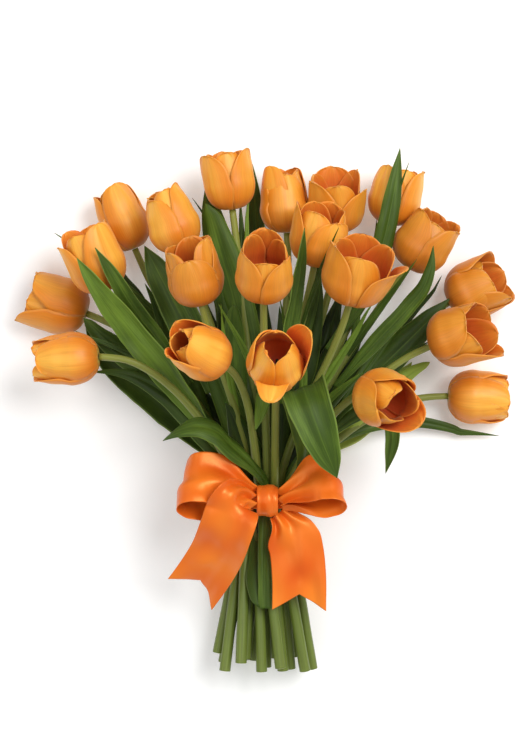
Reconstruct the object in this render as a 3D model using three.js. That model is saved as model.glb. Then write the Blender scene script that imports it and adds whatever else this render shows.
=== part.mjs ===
// A hand-tied bunch of twenty tulips with a satin bow, laid down on a flat surface.
// Millimetres. +Y runs from the cut stem ends to the flowers, +Z is up, and the bow faces up.
import * as THREE from "three";

const vec = (x, y, z) => new THREE.Vector3(x, y, z);
const { lerp, smoothstep, degToRad } = THREE.MathUtils;

// ---- Driving dimensions ----
const footRadius = 4.8; // stem radius at the cut end
const neckRadius = 4.1; // where the ribbon ties the stems
const topRadius = 2.9; // under the flower
const stemSteps = 14;
const neckCentre = vec(2, -110, 46);
const footCentre = vec(0, -261, 34.6);
const middleHeight = 75; // of the flowers
const footSpread = vec(2.15, 0, 1.6); // the cut ends' oval against the neck's circle
const footTwist = degToRad(38); // the spiral that a hand-tied bunch has
const bundleRadius = 23.2; // of the tied stems
const bandRadius = 29; // inside of the ribbon's turn round the neck
const stemGap = 0.7; // free space between neighbouring stems in the neck
const petalWall = 4; // the cups' thickness: two rings of petals
const leafThickness = 1.2;
const ribbonWidth = 46;
const ribbonThickness = 1.0;
const gatheredShare = 0.4; // of its width that the ribbon keeps at the knot
const contactGap = 0.35; // between pieces that touch

// ---- The twenty flowers ----
// at: where the stem meets the petals. toward: the way the flower faces, as long as the flower.
// girth: widest radius. mouth: radius between the petal tips. cut: how far this stem's end is trimmed.
const tulips = [
  { at: [-114, 105, 27], toward: [-22, 54, 4], girth: 22, mouth: 15, cut: 4 },
  { at: [-135, 67, 66], toward: [-21, 53, 10], girth: 25, mouth: 22, cut: 0 },
  { at: [-70, 101, 72], toward: [-20, 52, 8], girth: 23, mouth: 14, cut: 10 },
  { at: [-28, 137, 58], toward: [-6, 50, 8], girth: 22, mouth: 19, cut: 6 },
  { at: [-53, 54, 122], toward: [-12, 52, 18], girth: 24, mouth: 19, cut: 0 },
  { at: [-156, 48, 26.4], toward: [-54, 18, -1], girth: 26, mouth: 22, cut: 14 },
  { at: [-141, 10, 86], toward: [-58, -4, -6], girth: 23, mouth: 15, cut: 8 },
  { at: [-1, 59, 148], toward: [1, 42, 34], girth: 24, mouth: 19, cut: 0 },
  { at: [-36, 5, 138], toward: [-35, 19, 40], girth: 23, mouth: 17, cut: 4 },
  { at: [9, -6, 146], toward: [0, 25, 49], girth: 25, mouth: 22, cut: 0 },
  { at: [19, 118, 45], toward: [-5, 57, 6], girth: 22, mouth: 16, cut: 6 },
  { at: [42, 89, 84], toward: [8, 48, 20], girth: 25, mouth: 22, cut: 2 },
  { at: [62, 119, 47], toward: [-2, 48, 18], girth: 24, mouth: 23, cut: 10 },
  { at: [71, 57, 124], toward: [10, 44, 28], girth: 29, mouth: 29, cut: 0 },
  { at: [108, 125, 42], toward: [10, 49, 7], girth: 23, mouth: 18, cut: 4 },
  { at: [123, 88, 54], toward: [28, 42, 14], girth: 25, mouth: 19, cut: 12 },
  { at: [161, 58, 32], toward: [44, 22, 14], girth: 26, mouth: 22, cut: 6 },
  { at: [144, 20, 66], toward: [44, 16, 24], girth: 26, mouth: 23, cut: 2 },
  { at: [87, -21, 118], toward: [24, -8, 48], girth: 25, mouth: 23, cut: 0 },
  { at: [160, -24, 24.1], toward: [54, -2, 0], girth: 24, mouth: 18, cut: 8 },
];

// ---- The leaves ----
// spine: from the base to the tip. width: at the widest.
// across: the way the blade's width runs, at its base and at its tip.
// widens: where along its length it goes from the narrow base to full width, if not near the base.
const leaves = {
  front: {
    spine: [[31, -95, 66], [36, -76, 84], [37, -50, 104], [34, -26, 120], [32, -17, 134], [37, -32, 145],
      [48, -62, 144], [60, -91, 130]],
    across: [[0.8, 0, -0.6], [0.91, 0.41, 0]],
    width: 42,
    widens: [0, 0.6],
  },
  arch: {
    spine: [[0, -205, 73], [0, -160, 73], [1, -116, 70.8], [1, -99, 71.4], [-8, -85, 84.8], [-26, -66, 100],
      [-44, -50, 109], [-66, -49, 112], [-86, -61, 100]],
    across: [[1, 0, 0], [0, 0.8, -0.6]],
    width: 34,
    widens: [0.52, 0.74],
  },
  leftLong: {
    spine: [[-30, -82, 53], [-56, -42, 61], [-87, 0, 70], [-114, 32, 76], [-140, 66, 98], [-158, 93, 108]],
    across: [[0.8, 0, 0.6], [0.7, 0.7, 0.2]],
    width: 27,
  },
  leftSecond: {
    spine: [[-64, -14, 48], [-92, 24, 60], [-114, 54, 78], [-128, 78, 94], [-143, 102, 104]],
    across: [[0.8, 0.6, 0], [0.8, 0.6, 0]],
    width: 17,
  },
  leftInner: {
    spine: [[-45, -20, 60], [-66, 34, 62], [-86, 72, 60], [-104, 106, 56]],
    across: [[1, 0.4, 0.3], [1, 0.4, 0]],
    width: 32,
  },
  lowerLeft: {
    spine: [[-20, -96, 26], [-55, -58, 11], [-90, -26, 2], [-124, 0, 1], [-146, 20, 4], [-158, 36, 12]],
    across: [[-0.8, -0.5, 0.2], [-0.7, -0.7, 0]],
    width: 42,
  },
  topLeft: {
    spine: [[-14, -40, 30], [-24, 30, 32], [-32, 76, 34], [-42, 116, 36], [-52, 158, 42]],
    across: [[1, 0, 0], [1, 0, 0]],
    width: 34,
  },
  top: {
    spine: [[-2, -90, 17], [-8, -20, 5], [-8, 60, 1], [-8, 130, 1], [-11, 181, 5]],
    across: [[-1, 0, 0], [-1, 0, 0]],
    width: 22,
  },
  middle: {
    spine: [[14, -30, 84], [20, 30, 98], [27, 72, 110], [33, 117, 124]],
    across: [[1, 0, -0.4], [1, 0, -0.8]],
    width: 16,
  },
  topRight: {
    spine: [[54, 16, 60], [84, 60, 70], [102, 110, 76], [110, 150, 80], [115, 188, 78]],
    across: [[1, 0, -0.3], [1, 0, -0.3]],
    width: 20,
  },
  rightWide: {
    spine: [[34, -72, 42], [74, -26, 42], [110, 10, 46], [136, 36, 50], [160, 61, 51]],
    across: [[0.8, -0.5, 0], [0.8, -0.6, 0]],
    width: 30,
  },
  rightUpper: {
    spine: [[60, -16, 70], [90, 18, 80], [118, 48, 88], [137, 74, 94], [142, 104, 97]],
    across: [[0.8, -0.6, 0], [1, 0, 0]],
    width: 15,
  },
  lime: {
    spine: [[22, -96, 26], [52, -64, 11], [80, -48, 2], [110, -22, 1], [130, 6, 5]],
    across: [[-0.6, 0.8, 0.2], [-0.8, 0.6, 0]],
    width: 32,
  },
  hanging: {
    spine: [[48, -62, 82], [80, -38, 90], [101, -33, 92], [108, -58, 86], [103, -90, 72]],
    across: [[0.8, -0.6, 0], [1, 0, 0]],
    width: 15,
  },
};

// ---- The ribbon ----
const knotCentre = vec(2, -112, 88.6);
const knotSize = vec(9, 13, 12);
// line: the middle line, starting at the knot. across: the way the ribbon's width runs, at both ends.
const ribbons = {
  loop_left: {
    line: [[-8, -109, 90], [-25, -100, 100], [-45, -92, 108], [-60, -92, 110], [-69, -97, 103],
      [-66, -104, 94], [-50, -108, 88], [-30, -111, 86], [-10, -112, 84]],
    across: [[0.25, 0.85, -0.46], [0.25, 0.85, -0.46]],
  },
  loop_right: {
    line: [[12, -109, 90], [27, -99, 100], [43, -90, 108], [56, -90, 110], [64, -95, 103], [61, -102, 94],
      [48, -106, 88], [31, -109, 86], [14, -112, 84]],
    across: [[-0.2, 0.8, -0.56], [-0.2, 0.8, -0.56]],
  },
  tail_left: {
    line: [[-10, -110, 99], [-18, -106, 111], [-25, -111, 123], [-30, -128, 121], [-39, -152, 105],
      [-51, -174, 85], [-64, -193, 68]],
    across: [[0.3, -0.9, 0], [0.84, -0.54, 0.1]],
    notch: 20,
  },
  tail_right: {
    line: [[12, -122, 84], [20, -134, 86], [26, -151, 86], [29, -178, 83], [29, -206, 80]],
    across: [[1, 0.05, 0.1], [1, 0.05, 0.1]],
    notch: 14,
  },
};

// ---- Making closed bodies ----
// A closed skin of rings from one end to the other. Rows 0 and `rows` are the middles of its ends.
function loft(sides, rows, place) {
  const geometry = new THREE.SphereGeometry(1, sides, rows);
  const position = geometry.getAttribute("position");
  const at = vec(0, 0, 0);
  for (let i = 0; i < position.count; i++) {
    at.fromBufferAttribute(position, i);
    const row = Math.round((Math.acos(THREE.MathUtils.clamp(at.y, -1, 1)) / Math.PI) * rows);
    const p = place(row, Math.atan2(at.x, at.z));
    position.setXYZ(i, p.x, p.y, p.z);
  }
  geometry.computeVertexNormals();
  return geometry;
}

const bunch = new THREE.Group();

function addPiece(name, geometry, material) {
  const mesh = new THREE.Mesh(geometry, material);
  mesh.name = name;
  bunch.add(mesh);
  return mesh;
}

const matte = (color, roughness) => new THREE.MeshStandardMaterial({ color, roughness, metalness: 0 });
const petalOrange = matte(0xf09030, 0.45);
const stemGreen = matte(0x7f9a3c, 0.55);
const leafGreen = matte(0x3f6428, 0.5);
const ribbonOrange = matte(0xe8731f, 0.35);

// Points along a line, each with its direction and two square sides. `acrossAt` steers the first side.
function travel(curve, steps, acrossAt) {
  const stations = [];
  for (let i = 0; i <= steps; i++) {
    const ahead = curve.getTangentAt(i / steps);
    const side = acrossAt(i / steps);
    side.addScaledVector(ahead, -side.dot(ahead)).normalize();
    stations.push({ at: curve.getPointAt(i / steps), ahead, side, out: side.clone().cross(ahead) });
  }
  return stations;
}

const smoothLine = (points) => new THREE.CatmullRomCurve3(points.map((p) => vec(...p)), false, "centripetal");

// ---- Stems ----
// Each stem's place in the neck lies towards its flower. Neighbours are moved apart,
// then any two that would cross over change places.
function neckPlaces() {
  const leans = tulips.map(({ at: [x, y, z] }) =>
    vec(x - neckCentre.x, 0, z - middleHeight).divideScalar(y - neckCentre.y),
  );
  const places = leans.map((lean) => lean.clone().multiplyScalar(18).clampLength(0, 20));
  const apart = 2 * neckRadius + stemGap;
  for (let round = 0; round < 400; round++) {
    for (let i = 0; i < places.length; i++) {
      for (let j = 0; j < i; j++) {
        const between = places[i].clone().sub(places[j]);
        const short = apart - between.length();
        if (short > 0) {
          between.setLength(short / 2);
          places[i].add(between);
          places[j].sub(between);
        }
      }
      places[i].clampLength(0, bundleRadius - neckRadius);
    }
  }
  let crossed = true;
  while (crossed) {
    crossed = false;
    for (let i = 0; i < places.length; i++) {
      for (let j = 0; j < i; j++) {
        const [a, b] = [places[i], places[j]];
        if (a.clone().sub(b).dot(leans[i].clone().sub(leans[j])) < 0) {
          [places[i], places[j]] = [b, a];
          crossed = true;
        }
      }
    }
  }
  return places;
}

function stemCurve(tulip, place) {
  const neck = neckCentre.clone().add(place);
  const foot = place.clone().applyAxisAngle(vec(0, 1, 0), footTwist).multiply(footSpread).add(footCentre);
  foot.y += tulip.cut;
  const top = vec(...tulip.at);
  const facing = vec(...tulip.toward).normalize();
  const reach = top.distanceTo(neck);
  const leave = vec(0, 1, 0).lerp(top.clone().sub(neck).normalize(), 0.55).setLength(reach * 0.36);
  const above = new THREE.CubicBezierCurve3(
    neck,
    neck.clone().add(leave),
    top.clone().addScaledVector(facing, -reach * 0.3),
    top.clone().addScaledVector(facing, -contactGap),
  );
  const below = [0, 0.3, 0.6, 0.85].map((t) => foot.clone().lerp(neck, t));
  return new THREE.CatmullRomCurve3([...below, ...above.getPoints(9)], false, "centripetal");
}

function stemRadius(t) {
  const neckAt = 0.36;
  if (t < neckAt) {
    return lerp(footRadius, neckRadius, t / neckAt);
  }
  return lerp(neckRadius, topRadius, (t - neckAt) / (1 - neckAt));
}

function stem(curve) {
  const stations = travel(curve, stemSteps, () => vec(1, 0, 0));
  return loft(8, stemSteps + 2, (row, angle) => {
    const step = THREE.MathUtils.clamp(row - 1, 0, stemSteps);
    const isEnd = row === 0 || row === stemSteps + 2;
    const radius = isEnd ? 0 : stemRadius(step / stemSteps);
    const { at, out, side } = stations[step];
    return at
      .clone()
      .addScaledVector(side, radius * Math.cos(angle))
      .addScaledVector(out, radius * Math.sin(angle));
  });
}

// ---- Flowers ----
// A hollow cup with six petal tips round its rim.
function cup({ toward, girth, mouth }) {
  const length = vec(...toward).length();
  const rim = mouth / girth;
  const outline = [[0, 0], [0.3, 0.02], [0.78, 0.14], [1, 0.38], [lerp(rim, 1, 0.55), 0.72], [rim, 0.94]];
  const outside = outline.map(([r, h]) => vec(r * girth, h * length, 0));
  const inside = outside.slice(2).map((p) => vec(p.x - petalWall, Math.max(p.y, 0.3 * length), 0));
  const profile = [...outside, ...inside.reverse(), vec(0, 0.27 * length, 0)];
  const tipRise = 0.06 * length;
  const valley = 0.16 * length;
  return loft(12, profile.length - 1, (row, angle) => {
    const { x, y } = profile[row];
    const turn = angle / (Math.PI / 3);
    const isTip = Math.abs(turn - Math.round(turn)) < 0.25;
    const share = smoothstep(y, 0.7 * length, 0.94 * length);
    return vec(x * Math.cos(angle), y + share * (isTip ? tipRise : -valley), x * Math.sin(angle));
  });
}

// ---- Leaves and ribbon ----
// A thin blade: `widthAt` gives its width along the line, `bend` how far its edges curl inwards.
function blade(stations, thickness, widthAt, bend, notch = 0) {
  const steps = stations.length - 1;
  const isLeaf = widthAt(1) === 0;
  const rows = isLeaf ? steps + 1 : steps + 2;
  return loft(8, rows, (row, angle) => {
    const step = THREE.MathUtils.clamp(row - 1, 0, steps);
    const { at, ahead, out, side } = stations[step];
    const isEnd = row === 0 || row === rows;
    const across = isEnd ? 0 : Math.cos(angle);
    const half = isEnd ? 0 : widthAt(step / steps) / 2;
    const lift = isEnd ? 0 : (thickness / 2) * Math.sin(angle) * (Math.abs(across) < 0.1 ? 1 : 1.3);
    const cut = notch * (Math.abs(across) - 1) * smoothstep(step / steps, 0.4, 1);
    return at
      .clone()
      .addScaledVector(side, half * across)
      .addScaledVector(out, lift - bend * half * across * across)
      .addScaledVector(ahead, cut);
  });
}

// Narrow at the base, widest past the middle, pointed at the tip.
function leafWidth(t, width, [from, to]) {
  return t === 1 ? 0 : width * lerp(0.34, 1, smoothstep(t, from, to)) * Math.sqrt(1 - t ** 3);
}

function leaf({ spine, across, width, widens = [0, 0.45] }) {
  const curve = smoothLine(spine);
  const [base, tip] = across.map((p) => vec(...p));
  const steps = Math.round(curve.getLength() / 18);
  const stations = travel(curve, steps, (t) => base.clone().lerp(tip, smoothstep(t, 0.1, 0.7)));
  return blade(stations, leafThickness, (t) => leafWidth(t, width, widens), 0.3);
}

function ribbonStrip({ line, across, notch }) {
  const [base, tip] = across.map((p) => vec(...p));
  const acrossAt = (t) => base.clone().lerp(tip, smoothstep(t, 0.1, 0.5));
  const stations = travel(smoothLine(line), notch ? 10 : 18, acrossAt);
  // The strip is gathered where it goes into the knot: a loop at both ends, a tail at one.
  const gather = (t) => smoothstep(notch ? t : Math.min(t, 1 - t), 0, 0.3);
  return blade(stations, ribbonThickness, (t) => ribbonWidth * lerp(gatheredShare, 1, gather(t)), 0, notch);
}

function knot() {
  return loft(8, 6, (row, angle) => {
    const tilt = (row / 6) * Math.PI;
    const ball = vec(Math.sin(tilt) * Math.sin(angle), Math.cos(tilt), Math.sin(tilt) * Math.cos(angle));
    return ball.multiply(knotSize).add(knotCentre);
  });
}

// The ribbon's turn round the neck.
function band() {
  const outer = bandRadius + ribbonThickness;
  const profile = [[bandRadius, -10], [outer, -10], [outer, 8], [bandRadius, 8], [bandRadius, -10]];
  return new THREE.LatheGeometry(profile.map(([r, y]) => new THREE.Vector2(r, y)), 24);
}

// ---- Putting it together ----
const places = neckPlaces();
tulips.forEach((tulip, i) => {
  const number = String(i + 1).padStart(2, "0");
  addPiece(`tulip_${number}_stem`, stem(stemCurve(tulip, places[i])), stemGreen);
  const flower = addPiece(`tulip_${number}_flower`, cup(tulip), petalOrange);
  flower.position.set(...tulip.at);
  flower.quaternion.setFromUnitVectors(vec(0, 1, 0), vec(...tulip.toward).normalize());
});
for (const [name, shape] of Object.entries(leaves)) {
  addPiece(`leaf_${name}`, leaf(shape), leafGreen);
}
for (const [name, shape] of Object.entries(ribbons)) {
  addPiece(`ribbon_${name}`, ribbonStrip(shape), ribbonOrange);
}
addPiece("ribbon_knot", knot(), ribbonOrange);
addPiece("ribbon_band", band(), ribbonOrange).position.copy(neckCentre);

// The origin is the middle of the bunch's footprint, on the surface it lies on.
const box = new THREE.Box3().setFromObject(bunch, true);
bunch.position.set(-(box.min.x + box.max.x) / 2, -(box.min.y + box.max.y) / 2, -box.min.z);

export default bunch;
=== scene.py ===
import math
import random

import bmesh
import bpy
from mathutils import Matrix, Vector, noise


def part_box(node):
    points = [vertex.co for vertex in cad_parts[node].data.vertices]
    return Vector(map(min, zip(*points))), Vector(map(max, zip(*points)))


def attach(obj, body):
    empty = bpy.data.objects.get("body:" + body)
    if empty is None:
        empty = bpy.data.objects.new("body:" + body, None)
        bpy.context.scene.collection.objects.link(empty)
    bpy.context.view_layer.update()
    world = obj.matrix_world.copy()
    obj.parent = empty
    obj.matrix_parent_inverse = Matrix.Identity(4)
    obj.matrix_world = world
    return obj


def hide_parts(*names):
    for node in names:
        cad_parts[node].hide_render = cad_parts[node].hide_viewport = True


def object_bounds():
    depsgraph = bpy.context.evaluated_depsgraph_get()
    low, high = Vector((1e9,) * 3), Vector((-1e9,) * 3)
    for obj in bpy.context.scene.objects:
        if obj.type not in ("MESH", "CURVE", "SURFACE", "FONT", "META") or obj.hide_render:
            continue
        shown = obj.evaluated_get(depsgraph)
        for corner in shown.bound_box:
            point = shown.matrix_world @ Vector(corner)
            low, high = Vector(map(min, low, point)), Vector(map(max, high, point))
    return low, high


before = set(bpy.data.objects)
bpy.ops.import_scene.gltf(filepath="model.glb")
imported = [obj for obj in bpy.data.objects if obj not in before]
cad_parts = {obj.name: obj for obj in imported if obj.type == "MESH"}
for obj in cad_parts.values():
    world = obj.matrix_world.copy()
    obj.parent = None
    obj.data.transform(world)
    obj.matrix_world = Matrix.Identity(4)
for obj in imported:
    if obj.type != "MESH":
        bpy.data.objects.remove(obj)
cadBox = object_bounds()
millimetre = 0.001
flowerCount = 20
print("frame loaded:", len(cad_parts), "nodes")


# small helpers

def linear(hexText):
    # sRGB hex to the linear colour that shaders take
    parts = [int(hexText[i:i + 2], 16) / 255 for i in (1, 3, 5)]
    return (*[p / 12.92 if p <= 0.04045 else ((p + 0.055) / 1.055) ** 2.4 for p in parts], 1.0)


def mix(a, b, share):
    return a + (b - a) * share


def ease(low, high, x):
    # 0 below low, 1 above high, smooth between
    share = min(max((x - low) / (high - low), 0.0), 1.0)
    return share * share * (3 - 2 * share)


def bell(x, width):
    return math.exp(-(x / width) ** 2)


def along(points, share):
    # a point at a share of the smooth line through the points; numbers work too
    place = min(max(share, 0.0), 1.0) * (len(points) - 1)
    i = min(int(place), len(points) - 2)
    f = place - i
    a, b, c, d = [points[min(max(k, 0), len(points) - 1)] for k in range(i - 1, i + 3)]
    return 0.5 * (2 * b + (c - a) * f + (2 * a - 5 * b + 4 * c - d) * f ** 2
                  + (3 * b - a - 3 * c + d) * f ** 3)


def heading(points, share):
    return (along(points, share + 0.01) - along(points, share - 0.01)).normalized()


def middleOf(points):
    return sum(points, Vector()) / len(points)


def ringsOf(nodeName):
    # walks a CAD node's skin ring by ring, from the middle of one end to the middle of the other
    skin = bmesh.new()
    skin.from_mesh(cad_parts[nodeName].data)
    bmesh.ops.remove_doubles(skin, verts=skin.verts, dist=0.01 * millimetre)
    ends = sorted(skin.verts, key=lambda v: len(v.link_edges))[-2:]
    seen, ring, rings = {ends[0]}, [ends[0]], []
    while ring:
        rings.append([v.co.copy() for v in ring])
        ahead = []
        for vertex in ring:
            for edge in vertex.link_edges:
                other = edge.other_vert(vertex)
                if other not in seen:
                    seen.add(other)
                    ahead.append(other)
        ring = ahead
    skin.free()
    return rings


def stationsOf(nodeName, startsNear, isRibbon=False):
    # a flat blade's middle line, width direction, half width and the side its edges curl to
    rings = ringsOf(nodeName)
    if (rings[0][0] - startsNear).length > (rings[-1][0] - startsNear).length:
        rings.reverse()
    middles, sides, halves = [], [], []
    for ring in rings[1:-1]:
        left, right = max(((a, b) for a in ring for b in ring), key=lambda pair: (pair[0] - pair[1]).length)
        side = (right - left).normalized()
        if sides and side.dot(sides[-1]) < 0:
            side = -side
        centre = (left + right) / 2
        inner = middleOf(sorted(ring, key=lambda p: abs((p - centre).dot(side)))[:2])
        middles.append(centre if isRibbon else inner)
        sides.append(side)
        halves.append((right - left).length / 2)
    isPointed = not isRibbon and (rings[-1][0] - middles[-1]).length > 2 * millimetre
    if isPointed:
        middles.append(rings[-1][0])
        sides.append(sides[-1])
        halves.append(0.0)
    # the last ring's middle lies back from its corners where the end is notched
    return {"middle": middles, "side": sides, "half": halves, "notch": (centre - inner).length}


# meshes from a rule that gives a point for each place across and along

def addSheet(build, columns, rows, place, lay, seed=0.0, tone=0.0):
    # lay is the real width and length in mm, for patterns that run with the piece
    # tone lightens or darkens the piece: painted light and shade on the heads and on leaves in the bunch,
    # partly a leaf's own colour
    corners = []
    for j in range(rows + 1):
        for i in range(columns + 1):
            u, v = 2 * i / columns - 1, j / rows
            corners.append(len(build["points"]))
            build["points"].append(place(u, v))
            build["spot"].append((u, v, tone))
            build["lay"].append((u * lay[0] / 2, v * lay[1], seed))
    wide = columns + 1
    for j in range(rows):
        for i in range(columns):
            a = j * wide + i
            build["faces"].append([corners[k] for k in (a, a + 1, a + wide + 1, a + wide)])


def emptyBuild():
    return {"points": [], "faces": [], "spot": [], "lay": []}


def finishPiece(name, build, materials, stoodFor=(), thickness=0.0, offset=0.0, rounds=0):
    mesh = bpy.data.meshes.new(name)
    mesh.from_pydata(build["points"], [], build["faces"])
    for attribute in ("spot", "lay"):
        stored = mesh.attributes.new(attribute, "FLOAT_VECTOR", "POINT")
        stored.data.foreach_set("vector", [x for place in build[attribute] for x in place])
    for material in materials:
        mesh.materials.append(material)
    mesh.shade_smooth()
    piece = bpy.data.objects.new(name, mesh)
    bpy.context.scene.collection.objects.link(piece)
    welding = piece.modifiers.new("weld", "WELD")
    welding.merge_threshold = 0.02 * millimetre
    if thickness:
        wall = piece.modifiers.new("wall", "SOLIDIFY")
        wall.thickness = thickness
        wall.offset = offset
        wall.use_rim = True
        wall.material_offset = len(materials) - 1
    if rounds:
        rounding = piece.modifiers.new("rounding", "SUBSURF")
        rounding.levels = rounding.render_levels = rounds
    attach(piece, "root")
    if stoodFor:
        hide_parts(*stoodFor)
    return piece


# materials

def addNode(tree, kind, settings=None, links=None):
    # settings name a property or an input; links give (from node, its output) for an input
    node = tree.nodes.new(kind)
    for name, value in (settings or {}).items():
        if isinstance(name, str) and hasattr(node, name):
            setattr(node, name, value)
        else:
            node.inputs[name].default_value = value
    for name, (source, output) in (links or {}).items():
        tree.links.new(source.outputs[output], node.inputs[name])
    return node


def startMaterial(name, shaderSettings):
    material = bpy.data.materials.new(name)
    material.use_nodes = True
    tree = material.node_tree
    tree.nodes.clear()
    shader = addNode(tree, "ShaderNodeBsdfPrincipled", shaderSettings)
    addNode(tree, "ShaderNodeOutputMaterial", links={"Surface": (shader, "BSDF")})
    return material, tree, shader


def setStops(ramp, stops):
    # stops is {place: hex colour or grey number}
    places = sorted(stops)
    elements = ramp.color_ramp.elements
    while len(elements) < len(places):
        elements.new(0.5)
    for element, place in zip(elements, places):
        element.position = place
        value = stops[place]
        element.color = linear(value) if isinstance(value, str) else (value, value, value, 1.0)


petalLooks = {
    "outside": {0.0: "#B4A448", 0.06: "#C47E28", 0.18: "#CE7218", 0.5: "#DA801A", 0.8: "#E28A1E",
                1.0: "#E89A2A"},
    "inside": {0.0: "#8A4C1C", 0.1: "#C44E28", 0.4: "#D65A28", 0.7: "#DE6C22", 1.0: "#EC922E"},
    "flameAndHighlight": "#F3B748",  # the golden middle of each petal: partly its own flame, partly painted highlight
    "rim": "#F8BE66",
    "veinWidth": 0.9,  # mm between the fine veins
}


def makePetalMaterial(name, stops, flameShare):
    # living petal skin: silky orange with a golden flame, partly painted highlight, up the middle and fine
    # veins to the tip
    material, tree, shader = startMaterial(name, {
        "IOR": 1.42,
        "Subsurface Weight": 0.12,
        "Subsurface Radius": (1.0, 0.5, 0.1),
        "Subsurface Scale": 2 * millimetre,
        "Sheen Weight": 0.1,
        "Sheen Roughness": 0.4,
        "Sheen Tint": linear("#FFD9A0"),
    })
    spot = addNode(tree, "ShaderNodeAttribute", {"attribute_name": "spot"})
    lay = addNode(tree, "ShaderNodeAttribute", {"attribute_name": "lay"})
    parts = addNode(tree, "ShaderNodeSeparateXYZ", links={"Vector": (spot, "Vector")})
    lengthwise = addNode(tree, "ShaderNodeVectorMath", {"operation": "MULTIPLY", 1: (1.0, 0.04, 1.0)},
                         {0: (lay, "Vector")})
    veins = addNode(tree, "ShaderNodeTexNoise", {"Scale": 1 / petalLooks["veinWidth"], "Detail": 3.0},
                    {"Vector": (lengthwise, "Vector")})
    streaks = addNode(tree, "ShaderNodeTexNoise", {"Scale": 0.14, "Detail": 2.0},
                      {"Vector": (lengthwise, "Vector")})
    blotches = addNode(tree, "ShaderNodeTexNoise", {"Scale": 0.07, "Detail": 2.0},
                       {"Vector": (lay, "Vector")})
    # the tone runs from base to tip, a little unevenly
    uneven = addNode(tree, "ShaderNodeMath", {"operation": "MULTIPLY_ADD", 1: 0.3}, {
        0: (blotches, "Fac"), 2: (parts, "Y")})
    centred = addNode(tree, "ShaderNodeMath", {"operation": "SUBTRACT", 1: 0.15}, {0: (uneven, "Value")})
    tone = addNode(tree, "ShaderNodeValToRGB", links={"Fac": (centred, "Value")})
    setStops(tone, stops)
    fromMiddle = addNode(tree, "ShaderNodeMath", {"operation": "ABSOLUTE"}, {0: (parts, "X")})
    flameAcross = addNode(tree, "ShaderNodeMapRange", {
        "interpolation_type": "SMOOTHSTEP", "From Min": 0.9, "From Max": 0.1, "To Max": flameShare},
        {"Value": (fromMiddle, "Value")})
    flameAlong = addNode(tree, "ShaderNodeMapRange", {
        "interpolation_type": "SMOOTHSTEP", "From Min": 0.12, "From Max": 0.5}, {"Value": (parts, "Y")})
    broken = addNode(tree, "ShaderNodeMapRange", {"From Min": 0.15, "From Max": 0.55},
                     {"Value": (streaks, "Fac")})
    flameShape = addNode(tree, "ShaderNodeMath", {"operation": "MULTIPLY"}, {
        0: (flameAcross, "Result"), 1: (flameAlong, "Result")})
    brokenFlame = addNode(tree, "ShaderNodeMath", {"operation": "MULTIPLY"}, {
        0: (flameShape, "Value"), 1: (broken, "Result")})
    # the flame and its painted highlight fade on heads darkened by painted shade
    flameFadedInShade = addNode(tree, "ShaderNodeMapRange", {
        "From Min": -0.2, "From Max": 0.05, "To Min": 0.2, "To Max": 1.0}, {"Value": (parts, "Z")})
    flameAndHighlight = addNode(tree, "ShaderNodeMath", {"operation": "MULTIPLY"}, {
        0: (brokenFlame, "Value"), 1: (flameFadedInShade, "Result")})
    flamed = addNode(tree, "ShaderNodeMix", {"data_type": "RGBA", 7: linear(petalLooks["flameAndHighlight"])},
                     {0: (flameAndHighlight, "Value"), 6: (tone, "Color")})
    rim = addNode(tree, "ShaderNodeMapRange", {"From Min": 0.92, "From Max": 1.0, "To Max": 0.22},
                  {"Value": (fromMiddle, "Value")})
    rimmed = addNode(tree, "ShaderNodeMix", {"data_type": "RGBA", 7: linear(petalLooks["rim"])},
                     {0: (rim, "Result"), 6: (flamed, 2)})
    veinTone = addNode(tree, "ShaderNodeMapRange",
                       {"From Min": 0.3, "From Max": 0.7, "To Min": 0.92, "To Max": 1.05},
                       {"Value": (veins, "Fac")})
    # the head's tone, painted light and shade, joins the vein tone to scale the colour
    depth = addNode(tree, "ShaderNodeMath", {"operation": "ADD"}, {0: (veinTone, "Result"), 1: (parts, "Z")})
    coloured = addNode(tree, "ShaderNodeVectorMath", {"operation": "SCALE"},
                       {0: (rimmed, 2), "Scale": (depth, "Value")})
    tree.links.new(coloured.outputs["Vector"], shader.inputs["Base Color"])
    gloss = addNode(tree, "ShaderNodeMapRange", {"To Min": 0.36, "To Max": 0.54}, {"Value": (veins, "Fac")})
    tree.links.new(gloss.outputs["Result"], shader.inputs["Roughness"])
    relief = addNode(tree, "ShaderNodeBump", {"Strength": 0.25, "Distance": 0.1 * millimetre},
                     {"Height": (veins, "Fac")})
    tree.links.new(relief.outputs["Normal"], shader.inputs["Normal"])
    return material


leafLooks = {
    "dark": "#182606",
    "middle": "#3A5010",
    "light": "#6E8A2C",
    "rim": "#88A048",
    "veinGap": 1.1,  # mm between the parallel veins
}


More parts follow.
